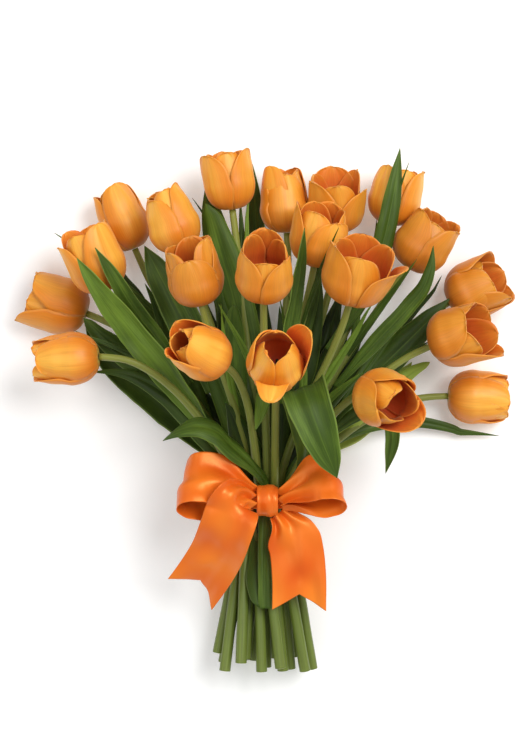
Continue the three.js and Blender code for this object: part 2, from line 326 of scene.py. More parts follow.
def makeLeafMaterial(name, dark, middle, light, rimColour):
    # tulip leaf: waxy bloom over green, with parallel veins from base to tip
    material, tree, shader = startMaterial(name, {
        "IOR": 1.4,
        "Subsurface Weight": 0.1,
        "Subsurface Radius": (0.5, 1.0, 0.15),
        "Subsurface Scale": 1.5 * millimetre,
        "Specular IOR Level": 0.35,
    })
    spot = addNode(tree, "ShaderNodeAttribute", {"attribute_name": "spot"})
    lay = addNode(tree, "ShaderNodeAttribute", {"attribute_name": "lay"})
    parts = addNode(tree, "ShaderNodeSeparateXYZ", links={"Vector": (spot, "Vector")})
    lengthwise = addNode(tree, "ShaderNodeVectorMath", {"operation": "MULTIPLY", 1: (1.0, 0.03, 1.0)},
                         {0: (lay, "Vector")})
    veins = addNode(tree, "ShaderNodeTexNoise",
                    {"Scale": 1 / leafLooks["veinGap"], "Detail": 4.0, "Roughness": 0.6},
                    {"Vector": (lengthwise, "Vector")})
    broad = addNode(tree, "ShaderNodeVectorMath", {"operation": "MULTIPLY", 1: (1.0, 0.25, 1.0)},
                    {0: (lay, "Vector")})
    clouds = addNode(tree, "ShaderNodeTexNoise", {"Scale": 0.08, "Detail": 3.0},
                     {"Vector": (broad, "Vector")})
    evenClouds = addNode(tree, "ShaderNodeMapRange", {
        "From Min": 0.25, "From Max": 0.75, "To Min": 0.4, "To Max": 0.6}, {"Value": (clouds, "Fac")})
    both = addNode(tree, "ShaderNodeMath", {"operation": "MULTIPLY_ADD", 1: 0.28},
                   {0: (veins, "Fac"), 2: (evenClouds, "Result")})
    # the piece's tone adds its painted light and shade
    toned = addNode(tree, "ShaderNodeMath", {"operation": "ADD"}, {0: (both, "Value"), 1: (parts, "Z")})
    tone = addNode(tree, "ShaderNodeValToRGB", links={"Fac": (toned, "Value")})
    setStops(tone, {0.36: dark, 0.64: middle, 0.9: light})
    fromMiddle = addNode(tree, "ShaderNodeMath", {"operation": "ABSOLUTE"}, {0: (parts, "X")})
    rim = addNode(tree, "ShaderNodeMapRange", {"From Min": 0.93, "From Max": 1.0, "To Max": 0.5},
                  {"Value": (fromMiddle, "Value")})
    rimmed = addNode(tree, "ShaderNodeMix", {"data_type": "RGBA", 7: linear(rimColour)},
                     {0: (rim, "Result"), 6: (tone, "Color")})
    midrib = addNode(tree, "ShaderNodeMapRange", {"From Min": 0.06, "From Max": 0.0, "To Max": 0.25},
                     {"Value": (fromMiddle, "Value")})
    ribbed = addNode(tree, "ShaderNodeMix", {"data_type": "RGBA", 7: linear(light)},
                     {0: (midrib, "Result"), 6: (rimmed, 2)})
    tree.links.new(ribbed.outputs[2], shader.inputs["Base Color"])
    gloss = addNode(tree, "ShaderNodeMapRange", {"To Min": 0.42, "To Max": 0.62}, {"Value": (clouds, "Fac")})
    tree.links.new(gloss.outputs["Result"], shader.inputs["Roughness"])
    relief = addNode(tree, "ShaderNodeBump", {"Strength": 0.45, "Distance": 0.18 * millimetre},
                     {"Height": (veins, "Fac")})
    tree.links.new(relief.outputs["Normal"], shader.inputs["Normal"])
    return material


stalkLooks = {
    "foot": "#687630",
    "middle": "#586A26",
    "top": "#858A3C",
    "cut": "#C9D08E",
}


def makeStalkMaterial():
    # tulip stalk: smooth waxy skin, paler towards the cut, with faint streaks
    material, tree, shader = startMaterial("waxyStalk", {
        "IOR": 1.4,
        "Subsurface Weight": 0.12,
        "Subsurface Radius": (0.5, 1.0, 0.3),
        "Subsurface Scale": 2 * millimetre,
    })
    spot = addNode(tree, "ShaderNodeAttribute", {"attribute_name": "spot"})
    lay = addNode(tree, "ShaderNodeAttribute", {"attribute_name": "lay"})
    parts = addNode(tree, "ShaderNodeSeparateXYZ", links={"Vector": (spot, "Vector")})
    tone = addNode(tree, "ShaderNodeValToRGB", links={"Fac": (parts, "Y")})
    setStops(tone, {0.0: stalkLooks["foot"], 0.3: stalkLooks["middle"], 1.0: stalkLooks["top"]})
    lengthwise = addNode(tree, "ShaderNodeVectorMath", {"operation": "MULTIPLY", 1: (1.0, 0.03, 1.0)},
                         {0: (lay, "Vector")})
    streaks = addNode(tree, "ShaderNodeTexNoise", {"Scale": 0.9, "Detail": 3.0},
                      {"Vector": (lengthwise, "Vector")})
    streakTone = addNode(tree, "ShaderNodeMapRange",
                         {"From Min": 0.3, "From Max": 0.7, "To Min": 0.8, "To Max": 1.15},
                         {"Value": (streaks, "Fac")})
    coloured = addNode(tree, "ShaderNodeVectorMath", {"operation": "SCALE"},
                       {0: (tone, "Color"), "Scale": (streakTone, "Result")})
    tree.links.new(coloured.outputs["Vector"], shader.inputs["Base Color"])
    gloss = addNode(tree, "ShaderNodeMapRange", {"To Min": 0.35, "To Max": 0.5}, {"Value": (streaks, "Fac")})
    tree.links.new(gloss.outputs["Result"], shader.inputs["Roughness"])
    relief = addNode(tree, "ShaderNodeBump", {"Strength": 0.4, "Distance": 0.15 * millimetre},
                     {"Height": (streaks, "Fac")})
    tree.links.new(relief.outputs["Normal"], shader.inputs["Normal"])
    return material


def makeCutMaterial():
    # the wet, fibrous face of a cut stalk
    material, tree, shader = startMaterial("cutStalk", {"IOR": 1.4, "Subsurface Weight": 0.1})
    lay = addNode(tree, "ShaderNodeAttribute", {"attribute_name": "lay"})
    fibres = addNode(tree, "ShaderNodeTexVoronoi", {"Scale": 1.6}, {"Vector": (lay, "Vector")})
    tone = addNode(tree, "ShaderNodeValToRGB", links={"Fac": (fibres, "Distance")})
    setStops(tone, {0.0: "#B4C278", 0.6: stalkLooks["cut"]})
    tree.links.new(tone.outputs["Color"], shader.inputs["Base Color"])
    gloss = addNode(tree, "ShaderNodeMapRange", {"To Min": 0.3, "To Max": 0.5},
                    {"Value": (fibres, "Distance")})
    tree.links.new(gloss.outputs["Result"], shader.inputs["Roughness"])
    return material


satinLooks = {
    "deep": "#CC3C08",
    "light": "#F68A28",
    "threadGap": 0.35,  # mm; real satin has about 0.1, which would be too fine to show
}


def makeSatinMaterial():
    # polyester satin, woven with long float threads, so it shines in soft bands across the folds; its colour
    # also holds painted sheen and shade
    material, tree, shader = startMaterial("wovenSatin", {
        "IOR": 1.6,
        "Specular IOR Level": 0.9,
        "Specular Tint": linear("#FFC07A"),
        "Sheen Weight": 0.12,
        "Sheen Roughness": 0.3,
        "Sheen Tint": linear("#FFA850"),
    })
    lay = addNode(tree, "ShaderNodeAttribute", {"attribute_name": "lay"})
    threads = addNode(tree, "ShaderNodeTexWave", {
        "wave_type": "BANDS", "bands_direction": "X", "Scale": 0.31 / satinLooks["threadGap"],
        "Distortion": 0.4,
        "Detail": 1.0}, {"Vector": (lay, "Vector")})
    # painted sheen and shade: broad patches from deep red-orange to golden stand for the satin's highlights
    # and shaded folds
    sheenStretch = addNode(tree, "ShaderNodeVectorMath", {"operation": "MULTIPLY", 1: (1.0, 0.6, 1.0)},
                     {0: (lay, "Vector")})
    paintedSheenPatches = addNode(tree, "ShaderNodeTexNoise", {"Scale": 0.04, "Detail": 0.0},
                    {"Vector": (sheenStretch, "Vector")})
    tone = addNode(tree, "ShaderNodeValToRGB", links={"Fac": (paintedSheenPatches, "Fac")})
    setStops(tone, {0.0: satinLooks["deep"], 1.0: satinLooks["light"]})
    tree.links.new(tone.outputs["Color"], shader.inputs["Base Color"])
    gloss = addNode(tree, "ShaderNodeMapRange", {"To Min": 0.28, "To Max": 0.36}, {"Value": (paintedSheenPatches, "Fac")})
    tree.links.new(gloss.outputs["Result"], shader.inputs["Roughness"])
    relief = addNode(tree, "ShaderNodeBump", {"Strength": 0.25, "Distance": 0.05 * millimetre},
                     {"Height": (threads, "Fac")})
    tree.links.new(relief.outputs["Normal"], shader.inputs["Normal"])
    return material


def makePistilMaterial(name, deep, light, rough):
    # small fleshy parts at a flower's heart: matt skin with a fine grain
    material, tree, shader = startMaterial(name, {"IOR": 1.4, "Subsurface Weight": 0.1,
                                                  "Subsurface Scale": millimetre})
    lay = addNode(tree, "ShaderNodeAttribute", {"attribute_name": "lay"})
    grain = addNode(tree, "ShaderNodeTexNoise", {"Scale": 1.5, "Detail": 4.0}, {"Vector": (lay, "Vector")})
    tone = addNode(tree, "ShaderNodeValToRGB", links={"Fac": (grain, "Fac")})
    setStops(tone, {0.3: deep, 0.7: light})
    tree.links.new(tone.outputs["Color"], shader.inputs["Base Color"])
    gloss = addNode(tree, "ShaderNodeMapRange", {"To Min": rough - 0.1, "To Max": rough + 0.1},
                    {"Value": (grain, "Fac")})
    tree.links.new(gloss.outputs["Result"], shader.inputs["Roughness"])
    relief = addNode(tree, "ShaderNodeBump", {"Strength": 0.5, "Distance": 0.2 * millimetre},
                     {"Height": (grain, "Fac")})
    tree.links.new(relief.outputs["Normal"], shader.inputs["Normal"])
    return material


pistilSkin = makePistilMaterial("fleshyPistil", "#7E8A34", "#A9A850", 0.45)
pollenSkin = makePistilMaterial("mattPollen", "#1E120C", "#3A2416", 0.8)
petalSkin = makePetalMaterial("silkyPetalOutside", petalLooks["outside"], 0.78)
petalHeart = makePetalMaterial("silkyPetalInside", petalLooks["inside"], 0.15)
leafSkin = makeLeafMaterial("waxyLeaf", leafLooks["dark"], leafLooks["middle"], leafLooks["light"],
                            leafLooks["rim"])
limeSkin = makeLeafMaterial("limeLeaf", "#6A8230", "#8C9F3E", "#A9B850", "#B8C470")
stalkSkin = makeStalkMaterial()
stalkCut = makeCutMaterial()
satin = makeSatinMaterial()
print("materials made")


# stalks

stalkValues = {
    "sides": 20,
    "rings": 56,
    "wander": 0.35 * millimetre,  # how far the skin strays from round
    "cutBevel": 0.5 * millimetre,
}


def stalkLine(number):
    line = [middleOf(ring) for ring in ringsOf(f"tulip_{number:02d}_stem")]
    if line[0].y > line[-1].y:
        line.reverse()
    return line[1:-1]


def stalkRadii(number):
    rings = ringsOf(f"tulip_{number:02d}_stem")
    if middleOf(rings[0]).y > middleOf(rings[-1]).y:
        rings.reverse()
    return [(ring[0] - middleOf(ring)).length for ring in rings[1:-1]]


def makeStalk(number):
    line, radii = stalkLine(number), stalkRadii(number)
    length = sum((b - a).length for a, b in zip(line, line[1:])) / millimetre
    side = Vector((1, 0, 0))
    build = emptyBuild()

    def skinPoint(u, v):
        middle, ahead = along(line, v), heading(line, v)
        first = (side - ahead * side.dot(ahead)).normalized()
        second = ahead.cross(first)
        angle = u * math.pi
        ray = first * math.cos(angle) + second * math.sin(angle)
        stray = noise.noise(Vector((math.cos(angle), math.sin(angle), v * 9)) + Vector((0, 0, number * 7.3)))
        return middle + ray * (along(radii, v) + stalkValues["wander"] * stray)

    addSheet(build, stalkValues["sides"], stalkValues["rings"], skinPoint,
             (2 * math.pi * 4.5, length), number)
    cut = emptyBuild()
    foot, ahead = line[0], heading(line, 0.0)
    first = (side - ahead * side.dot(ahead)).normalized()
    second = ahead.cross(first)

    def facePoint(u, v):
        # the end face: a shallow dish inside a softly rounded edge
        angle = u * math.pi
        ray = first * math.cos(angle) + second * math.sin(angle)
        dish = -stalkValues["cutBevel"] * bell(v - 0.35, 0.3)
        return skinPoint(u, 0.0) * (1 - v) + foot * v + ahead * dish

    addSheet(cut, stalkValues["sides"], 6, facePoint, (20, 5), number)
    shift = len(build["points"])
    skinFaces = len(build["faces"])
    build["points"] += cut["points"]
    build["spot"] += cut["spot"]
    build["lay"] += cut["lay"]
    build["faces"] += [[k + shift for k in face][::-1] for face in cut["faces"]]

    def headPoint(u, v):
        return skinPoint(u, 1.0) * (1 - v) + line[-1] * v

    head = emptyBuild()
    addSheet(head, stalkValues["sides"], 2, headPoint, (20, 5), number)
    shift = len(build["points"])
    build["points"] += head["points"]
    build["spot"] += [(x, 1.0, z) for x, y, z in head["spot"]]
    build["lay"] += head["lay"]
    build["faces"] += [[k + shift for k in face] for face in head["faces"]]
    piece = finishPiece(f"tulip_{number:02d}_stalk", build, [stalkSkin, stalkCut],
                        [f"tulip_{number:02d}_stem"])
    cutCount = len(cut["faces"])
    for polygon in piece.data.polygons[skinFaces:skinFaces + cutCount]:
        polygon.material_index = 1
    return piece


stalkLines = {}
for number in range(1, flowerCount + 1):
    stalkLines[number] = stalkLine(number)
    makeStalk(number)
print("stalks made")


# flowers

petalValues = {
    "thickness": 0.6 * millimetre,
    "columns": 16,
    "rows": 26,
    "between": 2.0 * millimetre,  # from the outer three petals to the inner three
    "outerWidth": 1.08,  # of the flower's girth
    "innerWidth": 1.0,
    "groove": 0.4 * millimetre,  # along the middle of each petal's back
    "edgeWave": 1.9 * millimetre,
}

# turn: degrees round the axis from the side that faces up to the first outer petal.
# open: how far each petal's tip leans out of the closed shape, in mm, outer three first, then inner three.
# tall: each petal's share of the flower's length. droop: how far a tip hangs down, as a share of the length.
# wide: each petal's width as a share of the usual.
flowerValues = {
    1: {"turn": 25, "open": [0, 0, 1, -2, 0, -2], "tall": [1, 0.95, 0.93, 0.9, 0.95, 0.9]},
    2: {"turn": 40, "open": [0, 0, 3, 0, 0, 0], "tall": [1, 0.95, 0.86, 0.98, 1, 0.95]},
    3: {"turn": -45, "open": [0, 1, 0, 0, 0, 0], "tall": [0.88, 1, 0.95, 0.97, 0.95, 0.92]},
    4: {"turn": -50, "open": [4, 1, 0, 0, 0, 0], "tall": [0.96, 1, 0.96, 0.98, 0.95, 0.95]},
    5: {"turn": -5, "open": [2, 0, 0, 1, 0, 1], "tall": [0.78, 0.95, 0.9, 1, 0.95, 0.9]},
    6: {"turn": 45, "open": [1, 0, 3, 0, 0, -2], "tall": [0.9, 0.95, 1, 0.95, 0.95, 0.9]},
    7: {"turn": 0, "open": [0, 1, 1, 0, 0, 0], "tall": [0.88, 0.98, 1, 0.96, 0.95, 0.97]},
    8: {"turn": 58, "open": [1, 2, 0, -1, 0, -1], "tall": [0.82, 1, 0.88, 0.92, 0.98, 0.84]},
    9: {"turn": 20, "open": [-1, 0, 0, -6, -4, -7], "tall": [1.02, 0.95, 0.97, 0.98, 0.95, 0.92]},
    10: {"turn": -8, "open": [21, 8, -4, -9, -6, -9], "tall": [1, 1.0, 0.9, 0.96, 0.95, 0.97],
         "droop": [0.33, 0, 0, 0, 0, 0], "wide": [0.64, 0.8, 0.9, 1, 1, 1]},
    11: {"turn": 15, "open": [0, 0, 0, 0, 0, 1], "tall": [0.87, 0.95, 0.9, 0.92, 0.95, 1.02]},
    12: {"turn": 35, "open": [-1, -2, 1, -2, -3, -4], "tall": [0.84, 0.95, 0.98, 0.95, 0.95, 0.95],
         "wide": [1, 1, 0.85, 1, 1, 1]},
    13: {"turn": 60, "open": [4, 2, 2, 2, 0, 0], "tall": [0.75, 1, 0.95, 0.98, 0.95, 0.9]},
    14: {"turn": 62, "open": [12, 0, -2, 0, -4, -6], "tall": [0.96, 0.9, 1, 0.9, 0.88, 0.97],
         "droop": [0.08, 0, 0, 0, 0, 0], "wide": [0.86, 1, 0.95, 1, 0.95, 1]},
    15: {"turn": -45, "open": [0, 3, 0, 1, 0, 0], "tall": [1, 1, 0.95, 0.98, 0.96, 0.95]},
    16: {"turn": 65, "open": [2, 0, 0, 2, 0, -2], "tall": [0.96, 0.95, 0.95, 1, 0.96, 0.9]},
    17: {"turn": 5, "open": [-2, 2, 2, 2, 1, 0], "tall": [0.88, 1, 1, 1, 1, 0.82]},
    18: {"turn": -25, "open": [0, 4, 2, 0, 1, 1], "tall": [0.84, 1.05, 0.95, 0.9, 0.98, 0.95]},
    19: {"turn": 30, "open": [-2, 4, -2, -6, -4, -9], "tall": [0.92, 1, 0.9, 0.9, 0.95, 1]},
    20: {"turn": 10, "open": [0, 2, 2, 1, 0, 0], "tall": [0.98, 0.98, 0.97, 0.97, 0.98, 0.96]},
}


# how light each head is: mostly painted light and shade, as the light falls on each head in the bunch, a
# little its own colour
headToneAndShade = [
    0.0, 0.04, 0.03, 0.0, -0.17, -0.08, 0.04, -0.12, 0.03, 0.02,
    -0.03, -0.02, -0.1, -0.12, 0.03, -0.17, -0.17, -0.15, -0.06, 0.03,
]


def cupOf(number):
    # where a flower stands, which way it faces, and its size, from its CAD cup
    base = stalkLines[number][-1]
    rings = ringsOf(f"tulip_{number:02d}_flower")
    if (rings[0][0] - base).length > (rings[-1][0] - base).length:
        rings.reverse()
    foot, heart = rings[0][0], rings[-1][0]
    axis = (heart - foot).normalized()
    points = [p for ring in rings for p in ring]
    length = max((p - foot).dot(axis) for p in points)
    spans = [((p - foot) - axis * (p - foot).dot(axis)).length for p in points]
    tips = [s for s, p in zip(spans, points) if (p - foot).dot(axis) > 0.99 * length]
    up = Vector((0, 0, 1)) if abs(axis.z) < 0.95 else Vector((0, -1, 0))
    front = (up - axis * up.dot(axis)).normalized()
    return {
        "foot": foot, "axis": axis, "front": front, "left": axis.cross(front),
        "length": length, "girth": max(spans), "mouth": max(tips),
    }


def petalPlace(cup, petal):
    # the rule for one petal; u runs across it and v from its base to its tip
    girth, length = cup["girth"] - petal["inset"], cup["length"] * petal["tall"]
    tip = (cup["mouth"] - petal["inset"] + petal["open"]) / girth
    shoulder = mix(tip, 1.0, min(0.6 + petal["droop"], 1.0)) + 0.1 * petal["open"] / girth
    radial = [0.1, 0.5, 0.84, 1.0, mix(shoulder, 1.0, 0.45), shoulder, tip]
    height = [0.0, 0.03, 0.16, 0.37, 0.55, 0.74 - 0.3 * petal["droop"], 1.0 - petal["droop"]]
    outward = cup["front"] * math.cos(petal["angle"]) + cup["left"] * math.sin(petal["angle"])
    sideways = cup["axis"].cross(outward)
    seed = petal["seed"]

    def place(u, v):
        v = 1 - (1 - v) ** 1.4
        reach, rise = along(radial, v) * girth, along(height, v) * length
        belly = ease(0.0, 0.5, v)
        crown = max(0.0, (v - 0.5) / 0.5)
        half = petal["width"] * girth * mix(0.2, 1.0, belly ** 0.8) * (1 - crown ** 3.2) ** 0.55
        half *= 1 + 0.06 * noise.noise(Vector((math.copysign(2, u), v * 5, seed))) * ease(0.3, 0.6, v)
        curl = max(0.5 * girth, min(reach, girth)) * petal["curl"]
        curl = mix(curl, 0.55 * girth, 1 - ease(0.0, 0.35, v))
        angle = u * half / curl
        x, y = curl * math.sin(angle), reach - curl * (1 - math.cos(angle))
        wave = noise.noise(Vector((u * 1.2, v * 3.1, seed))) * abs(u) ** 2
        y += petalValues["edgeWave"] * wave * (0.4 + v)
        y -= petalValues["groove"] * bell(u, 0.22) * ease(0.05, 0.3, v)
        y += petal["roll"] * millimetre * ease(0.8, 1.0, v) * (1 - abs(u))
        ribs = mix(0.25, petal["ribs"], ease(0.55, 0.95, v))
        ripple = ribs * millimetre * noise.noise(Vector((u * 4.5, v * 1.2, seed + 9)))
        rise += 0.5 * millimetre * noise.noise(Vector((u * 4.0, seed, 3.3))) * ease(0.6, 1.0, v)
        spot = cup["foot"] + cup["axis"] * rise + outward * (y + ripple)
        return spot + sideways * (x + petal["skew"] * v ** 2)

    return place


def makeFlower(number):
    values = flowerValues[number]
    cup = cupOf(number)
    draw = random.Random(number * 101)
    name = f"tulip_{number:02d}"
    droops, wides = values.get("droop", [0.0] * 6), values.get("wide", [1.0] * 6)
    for ring, (ringName, share) in enumerate((("outerPetals", "outerWidth"), ("innerPetals", "innerWidth"))):
        build = emptyBuild()
        for k in range(3):
            index = ring * 3 + k
            petal = {
                "angle": math.radians(values["turn"] + 120 * k + 60 * ring + draw.uniform(-3, 3)),
                "inset": ring * petalValues["between"],
                "open": (values["open"][index] + draw.uniform(-0.5, 0.5)) * millimetre,
                "tall": values["tall"][index],
                "droop": droops[index],
                "width": petalValues[share] * draw.uniform(0.96, 1.03) * wides[index],
                "ribs": draw.uniform(0.6, 1.6),
                "curl": draw.uniform(0.9, 0.98),
                "roll": draw.uniform(-1.2, 1.0),
                "skew": draw.uniform(-1.5, 1.5) * millimetre,
                "seed": number * 13.7 + index * 3.1,
            }
            real = (2 * petal["width"] * cup["girth"] / millimetre, 1.2 * cup["length"] / millimetre)
            isHanging = petal["droop"] > 0.2
            target = emptyBuild() if isHanging else build
            addSheet(target, petalValues["columns"], petalValues["rows"], petalPlace(cup, petal), real,
                     petal["seed"], headToneAndShade[number - 1])
            if isHanging:  # golden on both sides: the outside skin covers both faces
                finishPiece(f"{name}_hangingPetal", target, [petalSkin], [f"{name}_flower"],
                            thickness=petalValues["thickness"], offset=-1.0)
        # the wall grows inwards, so the CAD cup's outside stays the petals' outside
        finishPiece(f"{name}_{ringName}", build, [petalSkin, petalHeart], [f"{name}_flower"],
                    thickness=petalValues["thickness"], offset=-1.0)


heartValues = {
    "pistilHeight": 0.3,  # share of the flower's length
    "pistilRadius": 2.6 * millimetre,
    "stamenHeight": 0.34,
    "stamenRadius": 1.1 * millimetre,
    "stamenRing": 5.5 * millimetre,
}


def addRod(build, foot, tip, radius, head, swell):
    # a small rod from foot to tip whose end swells to swell times its radius over the last part, head
    ahead = (tip - foot).normalized()
    first = ahead.orthogonal().normalized()
    second = ahead.cross(first)

    def place(u, v):
        tipRound = math.sqrt(max(0.0, 1 - max(0.0, (v - 0.9) / 0.1) ** 2))
        wide = radius * mix(1.0, swell, ease(1 - head - 0.08, 1 - head, v)) * tipRound
        ray = first * math.cos(math.pi * u) + second * math.sin(math.pi * u)
        return foot + (tip - foot) * v + ray * wide * (1 + 0.12 * math.cos(3 * math.pi * u) * (swell > 1.2))

    addSheet(build, 12, 14, place, (2 * math.pi * radius / millimetre, (tip - foot).length / millimetre))


def makeHeart(number):
    # the pistil and six dark stamens
    cup = cupOf(number)
    foot, axis = cup["foot"] + cup["axis"] * millimetre, cup["axis"]
    heart = emptyBuild()
    addRod(heart, foot, foot + axis * cup["length"] * heartValues["pistilHeight"],
           heartValues["pistilRadius"], 0.14, 1.35)
    pistilFaces = len(heart["faces"])
    for k in range(6):
        angle = math.radians(60 * k + number * 17)
        ray = cup["front"] * math.cos(angle) + cup["left"] * math.sin(angle)
        tip = foot + axis * cup["length"] * heartValues["stamenHeight"] + ray * heartValues["stamenRing"]
        addRod(heart, foot + ray * 2.5 * millimetre, tip, heartValues["stamenRadius"] * 0.55, 0.5, 2.2)
    piece = finishPiece(f"tulip_{number:02d}_heart", heart, [pistilSkin, pollenSkin])
    for polygon in piece.data.polygons[pistilFaces:]:
        polygon.material_index = 1


for number in range(1, flowerCount + 1):
    makeFlower(number)
    makeHeart(number)
print("flowers made")


# leaves

leafValues = {
    "thickness": 0.8 * millimetre,
    "columns": 16,
    "step": 3.0 * millimetre,
    "bend": 0.34,  # how far the edges curl, as a share of the half width
    "fold": 2.0 * millimetre,  # depth of the channel along the middle
    "wave": 1.6 * millimetre,  # of the edges
}


def makeBlade(name, stations, skin, seed, tone, stoodFor=(), wave=1.0):
    middle, side, half = stations["middle"], stations["side"], stations["half"]
    length = sum((b - a).length for a, b in zip(middle, middle[1:]))

    def place(u, v):
        ahead = heading(middle, v)
        across = along(side, v)
        across = (across - ahead * across.dot(ahead)).normalized()
        out = across.cross(ahead)
        reach = max(along(half, v), 0.0) * (1 - 0.25 * ease(0.75, 1.0, v))
        lift = -leafValues["bend"] * reach * u * u
        nearTip = min(1.0, reach / (8 * millimetre))
        lift -= leafValues["fold"] * bell(u, 0.3) * (1 - ease(0.7, 1.0, v)) * nearTip
        edge = noise.noise(Vector((u * 0.8, v * length / (26 * millimetre), seed)))
        lift += leafValues["wave"] * wave * edge * abs(u) ** 1.5 * nearTip * 2
        trim = 1 + 0.05 * noise.noise(Vector((u, v * length / (14 * millimetre), seed + 4)))
        return along(middle, v) + across * (reach * u * trim) + out * lift

    build = emptyBuild()
    rows = max(12, round(length / leafValues["step"]))
    addSheet(build, leafValues["columns"], rows, place,
             (2 * max(half) / millimetre, length / millimetre), seed, tone)
    return finishPiece(name, build, [skin], stoodFor, thickness=leafValues["thickness"])


# how light each leaf is, from -0.2 to 0.3: partly its own green, partly painted shade deep in the bunch and
# painted light where lit
leafToneAndShade = {
    "front": 0.0, "arch": 0.02, "leftLong": 0.12, "leftSecond": 0.02, "leftInner": 0.0, "lowerLeft": -0.06,
    "topLeft": 0.04, "top": -0.08, "middle": 0.0, "topRight": 0.0, "rightWide": -0.1, "rightUpper": 0.0,
    "lime": 0.1, "hanging": 0.0,
}
neck = middleOf([Vector(corner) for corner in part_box("ribbon_band")])
for index, nodeName in enumerate(sorted(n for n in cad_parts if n.startswith("leaf_"))):
    isLime = nodeName == "leaf_lime"
    stations = stationsOf(nodeName, neck)
    makeBlade(nodeName.replace("leaf_", "blade_"), stations, limeSkin if isLime else leafSkin, index * 5.3,
              leafToneAndShade[nodeName[5:]], [nodeName])
# the other leaves each clasp a stalk. Foot and tip are shares of the way up it, and a tip over 1 runs on past
# the head. At its tip the blade has leaned to the right of the stalk, and lifted, by so many mm
stalkLeaves = {
    # name: (stalk, foot, tip, lean, lift, width, tone)
    "behindLeftHeads": (1, 0.7, 1.12, -54, 10, 10, 0.02),
    "darkBehind": (6, 0.72, 1.0, 50, -8, 24, -0.14),
    "leftTall": (6, 0.58, 0.93, 46, 14, 22, 0.04),
    "leftBlunt": (2, 0.57, 0.98, -30, -7, 21, 0.0),
    "leftPoint": (2, 0.75, 0.97, -42, 3, 6, -0.04),
    "lowerRim": (7, 0.42, 1.0, -16, -38, 28, -0.06),
    "underNine": (5, 0.42, 1.0, -12, -42, 30, -0.02),
    "besideNine": (3, 0.38, 0.88, 18, -12, 26, -0.06),
    "paleSpear": (5, 0.62, 0.98, 16, 12, 7, 0.2),
    "paleSpearTwo": (8, 0.65, 0.98, -38, -6, 7, 0.14),
    "topBlunt": (4, 0.53, 1.02, -22, 6, 34, 0.03),
    "topSmall": (4, 0.8, 1.04, -34, -20, 5, -0.06),
    "topPale": (4, 0.65, 1.05, 16, -16, 7, 0.24),
    "topStrip": (4, 0.62, 1.04, 8, -20, 10, -0.05),
    "heartLit": (3, 0.55, 0.84, 25, 8, 22, 0.02),
    "heartRight": (12, 0.57, 0.88, -22, -14, 17, -0.08),
    "spearMiddle": (14, 0.62, 0.95, -52, -18, 8, 0.08),
    "spearMiddleTwo": (12, 0.68, 0.9, -24, 12, 5, 0.12),
    "rightShade": (13, 0.5, 0.93, -16, 16, 32, -0.12),
    "rightShadeTwo": (12, 0.57, 1.0, 8, -18, 17, 0.0),
    "overTwelve": (12, 0.8, 1.09, 12, 50, 5, 0.0),
    "curlRight": (16, 0.75, 0.98, -58, 9, 8, -0.02),
    "curlRightTwo": (15, 0.78, 1.0, -12, -8, 8, -0.1),
    "underSixteen": (16, 0.7, 1.02, 2, 38, 8, 0.0),
    "underSixteenTwo": (15, 0.7, 0.94, 12, -6, 5, -0.12),
    "tinyRight": (17, 0.8, 1.03, -22, -8, 6, -0.15),
    "spearRight": (18, 0.65, 1.04, -40, -18, 13, -0.02),
    "spearFarRight": (17, 0.75, 1.07, -46, 5, 7, 0.04),
    "longLight": (14, 0.57, 1.03, 20, -34, 9, 0.14),
    "alongSixteen": (16, 0.62, 0.97, 1, 3, 10, -0.04),
    "middleRight": (17, 0.42, 0.9, -10, 15, 19, 0.0),
    "lowRight": (14, 0.55, 0.83, 30, -9, 11, 0.1),
    "lowRightTwo": (14, 0.47, 0.84, 33, -24, 17, -0.03),
    "lowRightThree": (19, 0.5, 0.94, 6, -28, 21, 0.03),
    "limeEnd": (20, 0.62, 0.98, -32, 18, 14, 0.0),
    "underTwenty": (20, 0.62, 1.1, 50, -16, 14, 0.0),
    "alongEighteen": (18, 0.62, 1.01, -4, -14, 9, -0.05),
    "overFifteen": (15, 0.82, 1.13, -8, 44, 5, -0.02),
    "hangingSmall": (8, 0.76, 0.62, -9, 32, 15, 0.16),
    "belowKnot": (8, 0.42, 0.17, -16, 19, 33, -0.08),
}
bluntLeaves = {"leftBlunt", "topBlunt", "heartLit", "limeEnd", "belowKnot"}
# broad leaves deep in the bunch, which close the gaps: how far each leans, by its stalk
shadeLeans = {
    1: 35, 3: 10, 4: 20, 6: -3, 8: 18, 9: -18, 11: -38, 12: 3, 13: 8, 15: -20, 16: -16, 17: -28, 19: -6,
}
# painted shade: the shade leaves' dark tone stands for the shade deep in the bunch
shadeLeaf = {"foot": 0.4, "tip": 0.84, "lift": -16, "wide": 38, "tone": -0.17}
leafClearance = 8 * millimetre  # between a blade's middle line and the table
leafRoll = 0.25  # the most that a blade turns about its length, in radians


def bladeAlongStalk(stalk, foot, tip, lean, lift, wide, isBlunt=False, roll=0.0):
    line = stalkLines[stalk]
    length = sum((b - a).length for a, b in zip(line, line[1:]))
    up = Vector((0, 0, 1))
    level = heading(line, 0.85)
    level.z = 0
    level.normalize()

    def spotAt(t):
        share = mix(foot, tip, t)
        ahead = heading(line, min(share, 0.85))
        spot = along(line, share) + level * (max(share - 1, 0) * length)
        spot += ahead.cross(up).normalized() * (lean * millimetre * t ** 1.6)
        spot += up * (lift * millimetre * t ** 1.3)
        spot.z = max(spot.z, cadBox[0][2] + leafClearance)
        return spot

    count = 24
    middle = [spotAt(i / count) for i in range(count + 1)]
    side, half = [], []
    for i in range(count + 1):
        share = i / count
        ahead = heading(middle, share)
        across = ahead.cross(up).normalized()
        side.append(across * math.cos(roll) + across.cross(ahead) * math.sin(roll))
        taper = (1 - share ** 6) ** 0.5 if isBlunt else (1 - share ** 2.2) ** 0.9
        half.append(wide / 2 * millimetre * mix(0.35, 1.0, ease(0.0, 0.45, share)) * taper)
    return {"middle": middle, "side": side, "half": half}


